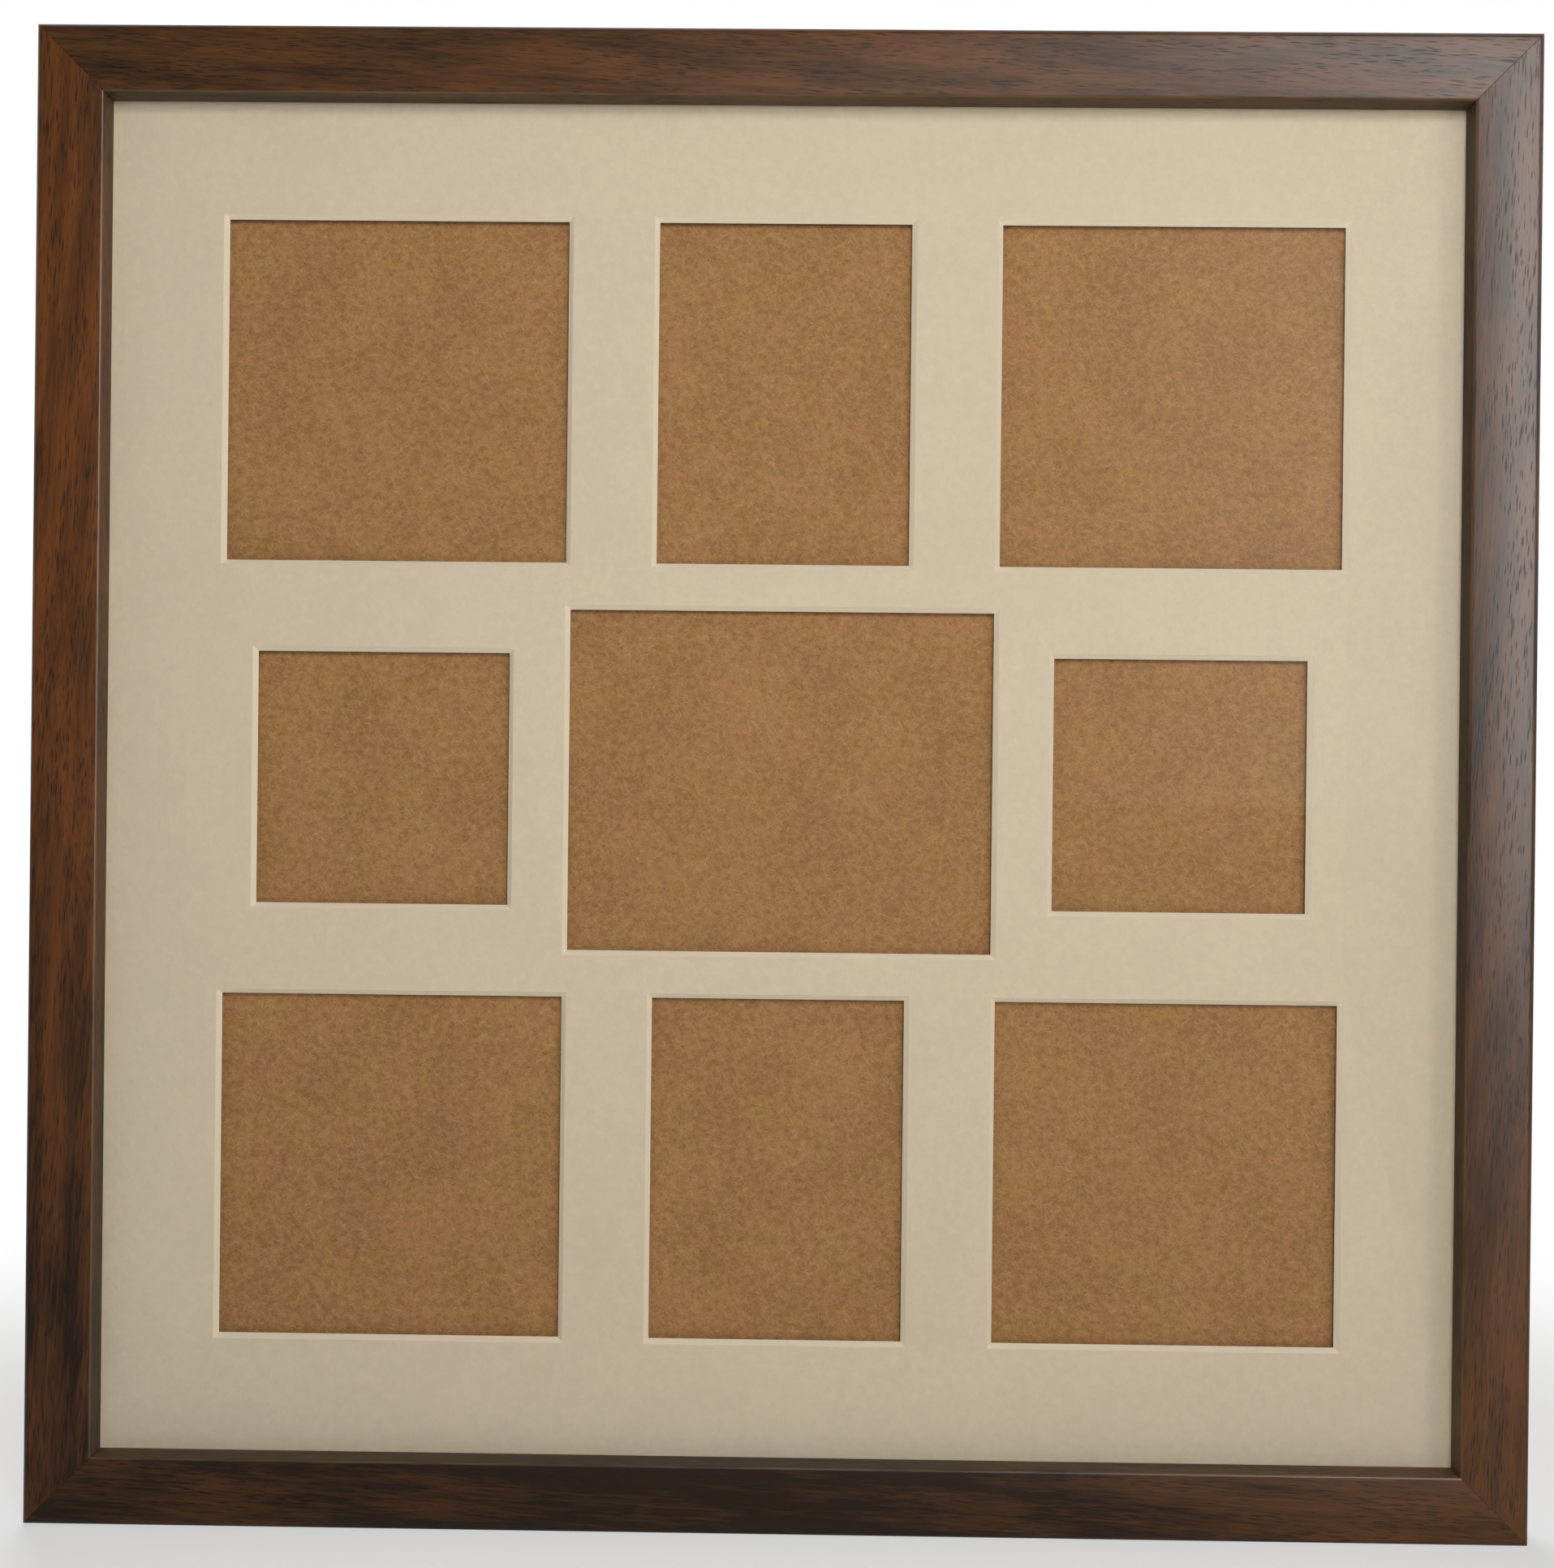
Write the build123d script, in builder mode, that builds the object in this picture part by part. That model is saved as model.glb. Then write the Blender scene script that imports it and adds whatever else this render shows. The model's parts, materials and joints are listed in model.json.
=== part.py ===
from build123d import *

import os

os.makedirs("parts", exist_ok=True)

# Square collage picture frame, in millimetres, with +Z up and its front facing -Y.
# The origin is the nail seat: the middle notch of the sawtooth hanger, in the plane of the wall.

# Sheets in the frame: backing board, window mount and glass, all cut to one size
sheet_size = 406.4
glass_thickness = 2.0
mount_thickness = 1.4
backing_thickness = 3.0

# Moulding of the four rails
moulding_width = 20.0
lip_depth = 8.6
lip_cover = 6.0
rebate_clearance = 1.0
face_crown = 0.5
sight_arris = 0.8
outer_round = 2.0
back_arris = 0.6

# Windows of the mount, measured at the edge that rests on the backing board
square_window = 100.4
tall_window_width = 74.3
centre_window_width = 124.8
small_window = 74.3
column_gap = 26.7
row_gap = 13.8
side_gap = 17.8
bevel_angle = 45.0

# V-nails driven into the back of each mitre
v_nail_insets = (4.0, 8.6)
v_nail_leg = 4.5
v_nail_gauge = 0.5
v_nail_depth = 8.0

# Turn buttons and their screws, two on each rail
button_spacing = 220.0
button_overlap = 11.5
button_thickness = 1.2
button_head_radius = 6.0
button_tip_radius = 4.2
button_gap = 0.1
grip_length = 5.0
grip_width = 2.4
grip_height = 0.7
grip_slope = 30.0
screw_radius = 1.5
screw_length = 11.0
screw_point = 2.5
screw_fit = 0.05
screw_head_radius = 2.9
screw_head_height = 1.6
screw_head_rim = 0.7
screw_head_flat = 1.9
recess_span = 3.0
recess_width = 0.7
recess_depth = 0.9

# Sawtooth hanger and its nails
hanger_length = 46.0
hanger_height = 9.5
hanger_gauge = 0.9
hanger_foot = 9.0
hanger_ramp = 3.0
hanger_bend = 0.3
tooth_count = 9
tooth_pitch = 2.2
tooth_flat = 0.3
tooth_depth = 1.6
nail_radius = 0.7
nail_length = 10.0
nail_fit = 0.05
nail_head_radius = 1.7
nail_head_height = 0.8
nail_head_flat = 0.9

# Wall bumpers near the lower corners
bumper_radius = 5.0
bumper_draft = 12.0
bumper_inset = 26.0

# Room behind the frame, which the hanger and the bumpers take up
wall_clearance = 0.2
button_top = button_gap + button_thickness
screw_head_base = button_top + button_gap
stand_off = screw_head_base + screw_head_height + wall_clearance

# Sizes that follow from the sheets and the moulding
pack_thickness = backing_thickness + mount_thickness + glass_thickness
rail_depth = pack_thickness + lip_depth
rebate_half = sheet_size / 2 + rebate_clearance
sight_half = rebate_half - lip_cover
outer_half = sight_half + moulding_width
rail_back = moulding_width - lip_cover
rail_middle = rebate_half + rail_back / 2
button_reach = rail_back / 2 + rebate_clearance + button_overlap

# The hanger is centred on the back of the top rail, and its notches bear on the nail at z = 0
hanger_middle = hanger_height / 2 - tooth_depth
hang_drop = rail_middle - hanger_middle

# Planes on the back of the rails: seen from behind, and seen from the front
back = Plane((0, -stand_off, -hang_drop), x_dir=(-1, 0, 0), z_dir=(0, 1, 0))
sheets = Plane(back.origin, x_dir=(1, 0, 0), z_dir=(0, -1, 0))

# Turn of each rail about the middle of the frame
rail_turns = {"top": 0, "right": 90, "bottom": 180, "left": 270}


def rail_plane(turn):
    """Plane on the back of the rails whose +y points out at the rail of that turn."""
    return back.moved(Rotation(0, 0, turn))


def pivot_planes(turn):
    """Planes at the two screws of a rail, facing the wall, with +y towards the backing board."""
    rail = rail_plane(turn)
    return [
        Plane(
            rail.from_local_coords((along, rail_middle, 0)),
            x_dir=-rail.x_dir,
            z_dir=rail.z_dir,
        )
        for along in (-button_spacing / 2, button_spacing / 2)
    ]


def section_plane(seat):
    """Plane through the axis of a round piece: x is its radius and y its height over the seat."""
    return Plane(seat.origin, x_dir=seat.x_dir, z_dir=-seat.y_dir)


# Sheets

with BuildPart() as backing_board:
    with BuildSketch(sheets):
        Rectangle(sheet_size, sheet_size)
    extrude(amount=backing_thickness)

row_height = square_window + row_gap
column_width = tall_window_width / 2 + column_gap + square_window / 2
side_width = centre_window_width / 2 + side_gap + small_window / 2
mount_back = sheets.offset(backing_thickness)

with BuildPart() as window_mount:
    with BuildSketch(mount_back):
        Rectangle(sheet_size, sheet_size)
    extrude(amount=mount_thickness)
    with BuildSketch(mount_back):
        Rectangle(centre_window_width, square_window)
        with Locations((-side_width, 0), (side_width, 0)):
            Rectangle(small_window, small_window)
        with Locations((0, -row_height), (0, row_height)):
            Rectangle(tall_window_width, square_window)
        with GridLocations(2 * column_width, 2 * row_height, 2, 2):
            Rectangle(square_window, square_window)
    extrude(amount=mount_thickness, taper=-bevel_angle, mode=Mode.SUBTRACT)

with BuildPart() as glass_pane:
    with BuildSketch(mount_back.offset(mount_thickness)):
        Rectangle(sheet_size, sheet_size)
    extrude(amount=glass_thickness)

# Fasteners

with BuildPart() as v_nails:
    for turn in rail_turns.values():
        with BuildSketch(rail_plane(turn)):
            for inset in v_nail_insets:
                with Locations((inset - outer_half, outer_half - inset)):
                    Rectangle(v_nail_leg, v_nail_gauge, align=(Align.MIN, Align.MAX))
                    Rectangle(v_nail_gauge, v_nail_leg, align=(Align.MIN, Align.MAX))
        extrude(amount=-v_nail_depth)

screw_head_top = screw_head_base + screw_head_height

with BuildPart() as button_screws:
    for turn in rail_turns.values():
        for pivot in pivot_planes(turn):
            with BuildSketch(section_plane(pivot)):
                Polygon(
                    (0, screw_head_top),
                    (0, -screw_length),
                    (screw_radius, screw_point - screw_length),
                    (screw_radius, screw_head_base),
                    (screw_head_radius, screw_head_base),
                    (screw_head_radius, screw_head_base + screw_head_rim),
                    (screw_head_flat, screw_head_top),
                    align=None,
                )
            revolve(axis=Axis(pivot.origin, pivot.z_dir))
            with BuildSketch(pivot.offset(screw_head_top)):
                Rectangle(recess_span, recess_width)
                Rectangle(recess_width, recess_span)
            extrude(amount=-recess_depth, mode=Mode.SUBTRACT)

# Sawtooth hanger

nail_seat = Plane((0, -stand_off, 0), x_dir=back.x_dir, z_dir=back.z_dir)
hanger_edge = Plane((0, -stand_off, -tooth_depth), x_dir=(1, 0, 0), z_dir=(0, 0, 1))
hanger_rise = stand_off - hanger_gauge
hanger_half = hanger_length / 2
nail_along = hanger_half - hanger_foot / 2
hanger_nail_planes = [
    Plane(nail_seat.from_local_coords((along, hanger_middle, 0)), x_dir=back.x_dir, z_dir=back.z_dir)
    for along in (-nail_along, nail_along)
]

with BuildPart() as sawtooth_hanger:
    with BuildSketch(hanger_edge):
        with BuildLine():
            FilletPolyline(
                (-hanger_half, 0),
                (hanger_foot - hanger_half, 0),
                (hanger_foot + hanger_ramp - hanger_half, hanger_rise),
                (hanger_half - hanger_foot - hanger_ramp, hanger_rise),
                (hanger_half - hanger_foot, 0),
                (hanger_half, 0),
                radius=hanger_gauge + hanger_bend,
            )
            offset(amount=hanger_gauge, side=Side.LEFT)
        make_face()
    extrude(amount=hanger_height)
    with BuildSketch(nail_seat):
        with GridLocations(tooth_pitch, 0, tooth_count, 1):
            Polygon(
                (0, 0),
                ((tooth_flat - tooth_pitch) / 2, -tooth_depth),
                ((tooth_pitch - tooth_flat) / 2, -tooth_depth),
                align=None,
            )
    extrude(amount=stand_off, mode=Mode.SUBTRACT)
    with Locations(*hanger_nail_planes):
        Hole(nail_radius + nail_fit)

nail_head_top = hanger_gauge + nail_head_height

with BuildPart() as hanger_nails:
    for seat in hanger_nail_planes:
        with BuildSketch(section_plane(seat)):
            Polygon(
                (0, nail_head_top),
                (0, -nail_length),
                (nail_radius, nail_radius - nail_length),
                (nail_radius, hanger_gauge),
                (nail_head_radius, hanger_gauge),
                (nail_head_flat, nail_head_top),
                align=None,
            )
        revolve(axis=Axis(seat.origin, seat.z_dir))

# Wall bumpers

with BuildPart() as wall_bumpers:
    with BuildSketch(back):
        with Locations((bumper_inset - outer_half, -rail_middle), (outer_half - bumper_inset, -rail_middle)):
            Circle(bumper_radius)
    extrude(amount=stand_off, taper=bumper_draft)

# Rails

sight_edge_height = rail_depth - face_crown

for side, turn in rail_turns.items():
    across = rail_plane(turn)
    with BuildPart() as rail:
        with BuildSketch(Plane(back.origin, x_dir=across.y_dir, z_dir=-across.x_dir)):
            with BuildLine():
                Polyline(
                    (outer_half, sight_edge_height),
                    (outer_half, 0),
                    (rebate_half, 0),
                    (rebate_half, pack_thickness),
                    (sight_half, pack_thickness),
                    (sight_half, sight_edge_height),
                )
                ThreePointArc(
                    (sight_half, sight_edge_height),
                    ((sight_half + outer_half) / 2, rail_depth),
                    (outer_half, sight_edge_height),
                )
            make_face()
            fillet(vertices().group_by(Axis.X)[0].sort_by(Axis.Y)[-1], sight_arris)
            fillet(vertices().group_by(Axis.X)[-1].sort_by(Axis.Y)[-1], outer_round)
            fillet(vertices().group_by(Axis.X)[-1].sort_by(Axis.Y)[0], back_arris)
        extrude(amount=outer_half, both=True)
        split(bisect_by=Plane(back.origin, z_dir=across.y_dir + across.x_dir), keep=Keep.TOP)
        split(bisect_by=Plane(back.origin, z_dir=across.y_dir - across.x_dir), keep=Keep.TOP)
        with Locations(*pivot_planes(turn)):
            Hole(screw_radius + screw_fit, depth=screw_length)
        add(v_nails.part, mode=Mode.SUBTRACT)
        if side == "top":
            with Locations(*hanger_nail_planes):
                Hole(nail_radius + nail_fit, depth=nail_length)
    rail.part.label = f"{side}_rail"
    export_step(rail.part, f"parts/{side}_rail.step")

# Turn buttons

button_names = {
    "top": ("top_right_button", "top_left_button"),
    "right": ("right_lower_button", "right_upper_button"),
    "bottom": ("bottom_left_button", "bottom_right_button"),
    "left": ("left_upper_button", "left_lower_button"),
}
tip_distance = button_reach - button_tip_radius

for side, names in button_names.items():
    for name, pivot in zip(names, pivot_planes(rail_turns[side])):
        underside = pivot.offset(button_gap)
        with BuildPart() as turn_button:
            with BuildSketch(underside):
                Circle(button_head_radius)
                with Locations((0, tip_distance)):
                    Circle(button_tip_radius)
                make_hull()
            extrude(amount=button_thickness)
            with BuildSketch(underside.offset(button_thickness)):
                with Locations((0, tip_distance)):
                    Rectangle(grip_length, grip_width)
            extrude(amount=grip_height, taper=grip_slope)
            with Locations(pivot.offset(screw_head_base)):
                Hole(screw_radius + screw_fit)
        turn_button.part.label = name
        export_step(turn_button.part, f"parts/{name}.step")

# Pieces that are not made in a loop

for name, piece in {
    "backing_board": backing_board,
    "window_mount": window_mount,
    "glass_pane": glass_pane,
    "corner_v_nails": v_nails,
    "turn_button_screws": button_screws,
    "sawtooth_hanger": sawtooth_hanger,
    "hanger_nails": hanger_nails,
    "wall_bumpers": wall_bumpers,
}.items():
    piece.part.label = name
    export_step(piece.part, f"parts/{name}.step")
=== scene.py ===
"""Dresses the collage photo frame: moulding, sheets and back fittings, their finishes and the studio."""

import json
import logging
import math
from collections.abc import Callable, Iterator
from contextlib import contextmanager
from dataclasses import dataclass
from enum import Enum

import bmesh
import bpy
from mathutils import Matrix, Vector


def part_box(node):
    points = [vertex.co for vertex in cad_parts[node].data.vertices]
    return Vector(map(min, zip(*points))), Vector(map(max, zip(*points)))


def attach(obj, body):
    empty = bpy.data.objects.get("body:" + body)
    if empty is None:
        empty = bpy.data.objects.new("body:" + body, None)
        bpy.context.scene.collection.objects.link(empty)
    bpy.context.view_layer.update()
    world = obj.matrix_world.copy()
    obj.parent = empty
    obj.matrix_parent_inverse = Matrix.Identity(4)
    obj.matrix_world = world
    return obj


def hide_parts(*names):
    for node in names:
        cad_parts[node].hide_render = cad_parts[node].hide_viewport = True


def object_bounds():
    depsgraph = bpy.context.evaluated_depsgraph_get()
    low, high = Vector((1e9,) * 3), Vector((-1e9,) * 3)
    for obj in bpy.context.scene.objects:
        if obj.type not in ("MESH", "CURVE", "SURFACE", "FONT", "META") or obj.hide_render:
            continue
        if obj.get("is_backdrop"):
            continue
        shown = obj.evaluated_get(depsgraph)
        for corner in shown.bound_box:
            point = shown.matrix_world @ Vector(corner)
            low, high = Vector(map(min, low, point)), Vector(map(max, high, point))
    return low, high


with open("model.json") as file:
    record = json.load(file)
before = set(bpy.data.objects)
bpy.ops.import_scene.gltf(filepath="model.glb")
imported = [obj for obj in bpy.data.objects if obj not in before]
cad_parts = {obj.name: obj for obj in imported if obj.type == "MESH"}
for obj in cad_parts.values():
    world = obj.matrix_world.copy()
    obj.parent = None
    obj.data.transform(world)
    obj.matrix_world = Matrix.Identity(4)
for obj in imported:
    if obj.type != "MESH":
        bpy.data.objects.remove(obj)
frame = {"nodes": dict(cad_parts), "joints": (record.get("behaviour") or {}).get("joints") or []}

LOG = logging.getLogger("collage_frame")
CAD_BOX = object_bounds()
FRAME_BODY = "frame"
ACROSS, DEEP, UP = Vector((1, 0, 0)), Vector((0, 1, 0)), Vector((0, 0, 1))

# A millimetre, how near two places count as one, and the cosine from which a face counts as square on.
MM = 0.001
TOUCH = 0.002 * MM
SQUARE = 0.99

# Up to which angle faces are merged, up to which they are shaded as one, and from which edges are rounded.
FLAT_ANGLE = math.radians(1)
SMOOTH_ANGLE = math.radians(32)
SHARP_ANGLE = math.radians(40)

Piece = bpy.types.Object
Material = bpy.types.Material
Socket = bpy.types.NodeSocket
Outputs = bpy.types.bpy_prop_collection
Inputs = dict[str | int, object]
Triple = tuple[float, float, float]
Colour = tuple[float, float, float, float]
Test = Callable[[Vector, Vector], bool]
Operator = Callable[..., set[str]]


def everywhere(at: Vector, way: Vector) -> bool:
    """Picks all there is."""
    return True


def facing(sign: int) -> Test:
    """Picks what faces the wall, with a sign of 1, or the room, with a sign of -1."""
    return lambda at, way: way.y * sign > SQUARE


def level(depth: float) -> Test:
    """Picks what lies at one depth (y)."""
    return lambda at, way: abs(at.y - depth) < TOUCH


@dataclass(frozen=True)
class Layout:
    """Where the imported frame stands, in metres, read from its nodes.

    Attributes:
        middle: Middle of the picture, on the back of the rails.
        outer: Half of the frame's width.
        sight: Half of the width of the opening.
        sheet: Half of the width of the glass, mount and backing board.
        front: Depth (y) of the crown of the moulding.
        ledge: Depth of the rebate's ledge, which the glass bears on.
        back: Depth of the back of the rails.
        wall: Depth of the wall.
    """

    middle: Vector
    outer: float
    sight: float
    sheet: float
    front: float
    ledge: float
    back: float
    wall: float

    @classmethod
    def read(cls) -> "Layout":
        """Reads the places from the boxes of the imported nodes.

        Returns:
            The layout of the frame.
        """
        rail_low, rail_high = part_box("top_rail")
        pane_low, pane_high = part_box("glass_pane")
        middle = Vector((0.0, rail_high.y, (pane_low.z + pane_high.z) / 2))
        return cls(
            middle=middle,
            outer=rail_high.x,
            sight=rail_low.z - middle.z,
            sheet=pane_high.x,
            front=rail_low.y,
            ledge=pane_low.y,
            back=rail_high.y,
            wall=CAD_BOX[1].y,
        )

    def turned(self, side: "Side") -> Matrix:
        """Gives the turn about the middle of the picture that takes a piece of the top side to a side."""
        return Matrix.Translation(self.middle) @ side.turn() @ Matrix.Translation(-self.middle)


class Side(Enum):
    """A side of the frame, with its turn in degrees from the top, seen from the front."""

    TOP = 0
    RIGHT = 90
    BOTTOM = 180
    LEFT = 270

    @classmethod
    def nearest(cls, offset: Vector) -> "Side":
        """Says which side a point lies on, which is given from the middle of the picture."""
        quarters = round(math.atan2(offset.x, offset.z) / (math.pi / 2))
        return cls(quarters % 4 * 90)

    def turn(self) -> Matrix:
        """Gives the turn from the top, about the origin."""
        return Matrix.Rotation(math.radians(self.value), 4, "Y")

    def label(self) -> str:
        """Gives the side's name as pieces and nodes have it."""
        return self.name.lower()


class Part(Enum):
    """What a pick selects in edit mode."""

    VERTS = "VERT"
    EDGES = "EDGE"
    FACES = "FACE"

    def items(self, mesh: bmesh.types.BMesh) -> Iterator[tuple[object, Vector, Vector]]:
        """Goes through the vertices, edges or faces of a mesh.

        Args:
            mesh: The mesh in edit mode.

        Returns:
            Each item, its middle, and its normal or an edge's direction.
        """
        if self is Part.VERTS:
            for vert in mesh.verts:
                yield vert, vert.co, vert.normal
        elif self is Part.EDGES:
            for edge in mesh.edges:
                first, last = (vert.co for vert in edge.verts)
                yield edge, (first + last) / 2, (last - first).normalized()
        else:
            for face in mesh.faces:
                yield face, face.calc_center_median(), face.normal


class Merge(Enum):
    """What a tool's solid does to a piece."""

    JOIN = "UNION"
    CUT = "DIFFERENCE"


class Bench:
    """Hand tools for modelling one mesh at a time."""

    @staticmethod
    def take(piece: Piece) -> None:
        """Makes a piece the only one that is selected, and the active one.

        Args:
            piece: The piece.
        """
        bpy.ops.object.select_all(action="DESELECT")
        piece.select_set(True)
        bpy.context.view_layer.objects.active = piece

    @staticmethod
    def start(name: str, shape: Operator, scale: Vector | Triple = (1, 1, 1), **settings: object) -> Piece:
        """Adds a primitive and puts its place into its mesh.

        Args:
            name: The name of the piece.
            shape: The primitive's operator.
            scale: Its scale before it is turned.
            **settings: What the operator takes.

        Returns:
            The piece, at the origin, unturned and unscaled.
        """
        bpy.ops.object.select_all(action="DESELECT")
        shape(**settings)
        piece = bpy.context.object
        piece.name = piece.data.name = name
        piece.scale = scale
        Bench.take(piece)
        bpy.ops.object.transform_apply(location=True, rotation=True, scale=True)
        return piece

    @staticmethod
    def block(name: str, low: Vector, high: Vector) -> Piece:
        """Adds a cube that fills the box between two corners."""
        cube = bpy.ops.mesh.primitive_cube_add
        return Bench.start(name, cube, high - low, size=1.0, location=(low + high) / 2)

    @staticmethod
    def leaf(name: str, low: Vector, high: Vector) -> Piece:
        """Adds a plane that fills a flat box, which has no width along X or along Y.

        Args:
            name: The name of the piece.
            low: Lowest corner of the box.
            high: Highest corner of the box.

        Returns:
            The plane.
        """
        span = high - low
        turn, scale = (math.pi / 2, 0, 0), (span.x, span.z, 1.0)
        if span.x < TOUCH:
            turn, scale = (0, math.pi / 2, 0), (span.z, span.y, 1.0)
        plane = bpy.ops.mesh.primitive_plane_add
        return Bench.start(name, plane, scale, size=1.0, location=(low + high) / 2, rotation=turn)

    @staticmethod
    def plug(name: str, radii: tuple[float, float], foot: Vector, height: float, sides: int) -> Piece:
        """Adds a round plug that stands on the back of the frame.

        Args:
            name: The name of the piece.
            radii: Radius at the foot and at the top.
            foot: Middle of the foot.
            height: Height towards the wall.
            sides: Number of sides.

        Returns:
            The plug.
        """
        return Bench.start(
            name,
            bpy.ops.mesh.primitive_cone_add,
            vertices=sides,
            radius1=radii[0],
            radius2=radii[1],
            depth=height,
            location=foot + DEEP * height / 2,
            rotation=(-math.pi / 2, 0, 0),
        )

    @staticmethod
    @contextmanager
    def editing(piece: Piece) -> Iterator[None]:
        """Opens a piece in edit mode for a with block, then merges its doubles and turns its faces outwards.

        Args:
            piece: The piece.

        Returns:
            What the with statement takes.
        """
        Bench.take(piece)
        bpy.ops.object.mode_set(mode="EDIT")
        yield
        bpy.ops.mesh.select_all(action="SELECT")
        bpy.ops.mesh.remove_doubles(threshold=TOUCH)
        bpy.ops.mesh.normals_make_consistent(inside=False)
        bpy.ops.object.mode_set(mode="OBJECT")

    @staticmethod
    def pick(part: Part, test: Test = everywhere) -> None:
        """Selects, by place, what lies in the piece that is in edit mode.

        Args:
            part: What is selected: vertices, edges or faces.
            test: Says of a middle, and of a normal or an edge's direction, whether it is selected.
        """
        bpy.ops.mesh.select_mode(type=part.value)
        bpy.ops.mesh.select_all(action="DESELECT")
        data = bpy.context.object.data
        mesh = bmesh.from_edit_mesh(data)
        mesh.normal_update()
        for item, at, way in part.items(mesh):
            item.select_set(test(at, way))
        bmesh.update_edit_mesh(data)

    @staticmethod
    def cut(at: Vector, way: Vector, saw: bool = False) -> None:
        """Cuts edges where a plane meets the faces, or saws off what lies behind it and closes the end."""
        Bench.pick(Part.FACES)
        bpy.ops.mesh.bisect(plane_co=at, plane_no=way, threshold=TOUCH, clear_inner=saw, use_fill=saw)

    @staticmethod
    def notch(across: Vector, corner: Vector, test: Test) -> None:
        """Takes a corner out of a plane, which leaves an elbow of one face.

        Args:
            across: The level direction that the plane is spread along.
            corner: Where the two cuts meet.
            test: Picks the face that is taken out.
        """
        for way in (across, UP):
            Bench.cut(corner, way)
        Bench.pick(Part.FACES, test)
        bpy.ops.mesh.delete(type="FACE")
        Bench.pick(Part.FACES)
        bpy.ops.mesh.dissolve_limited(angle_limit=FLAT_ANGLE)

    @staticmethod
    def pull(way: Vector) -> None:
        """Extrudes the selected faces by a vector."""
        bpy.ops.mesh.extrude_region_move(TRANSFORM_OT_translate={"value": way})

    @staticmethod
    def ease(width: float, steps: int, part: Part = Part.EDGES) -> None:
        """Rounds the selected edges, or the selected vertices of a flat face, in a number of steps."""
        affect = "VERTICES" if part is Part.VERTS else "EDGES"
        bpy.ops.mesh.bevel(
            offset=width, offset_type="OFFSET", segments=steps, profile=0.5, affect=affect, clamp_overlap=True
        )

    @staticmethod
    def apply(piece: Piece, kind: str, **settings: object) -> None:
        """Gives a piece a modifier and applies it.

        Args:
            piece: The piece.
            kind: The kind of modifier.
            **settings: The modifier's own settings.
        """
        modifier = piece.modifiers.new(kind.lower(), kind)
        for key, value in settings.items():
            setattr(modifier, key, value)
        Bench.take(piece)
        bpy.ops.object.modifier_apply(modifier=modifier.name)

    @staticmethod
    def combine(piece: Piece, tool: Piece, merge: Merge) -> None:
        """Joins a tool's solid to a piece or cuts it out, and removes the tool."""
        Bench.apply(piece, "BOOLEAN", operation=merge.value, solver="EXACT", object=tool)
        bpy.data.objects.remove(tool)

    @staticmethod
    def soften(piece: Piece, width: float, steps: int) -> None:
        """Rounds all the sharp edges of a piece in a number of steps."""
        limits = {"limit_method": "ANGLE", "angle_limit": SHARP_ANGLE}
        Bench.apply(piece, "BEVEL", width=width, segments=steps, **limits)

    @staticmethod
    def smooth(piece: Piece) -> None:
        """Shades a piece smooth, apart from its sharp edges, and keeps its flats flat.

        Args:
            piece: The piece.
        """
        Bench.take(piece)
        bpy.ops.object.shade_smooth_by_angle(angle=SMOOTH_ANGLE)
        Bench.apply(piece, "WEIGHTED_NORMAL", keep_sharp=True)

    @staticmethod
    def copy(piece: Piece, name: str, move: Matrix) -> Piece:
        """Copies a piece to another place, with a mesh of its own.

        Args:
            piece: The piece that is copied.
            name: The name of the copy.
            move: The move from the piece to the copy.

        Returns:
            The copy.
        """
        twin = piece.copy()
        twin.data = piece.data.copy()
        twin.data.transform(move)
        twin.name = twin.data.name = name
        bpy.context.scene.collection.objects.link(twin)
        return twin

    @staticmethod
    def seat(piece: Piece, finish: Material, body: str, slot: str, node: str) -> None:
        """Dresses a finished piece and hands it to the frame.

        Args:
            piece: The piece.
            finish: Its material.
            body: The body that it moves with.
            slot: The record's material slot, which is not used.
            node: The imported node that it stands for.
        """
        piece.data.materials.clear()
        piece.data.materials.append(finish)
        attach(piece, body)
        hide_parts(node)
        LOG.info("%s stands for %s on %s, %d faces", piece.name, node, body, len(piece.data.polygons))


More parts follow.
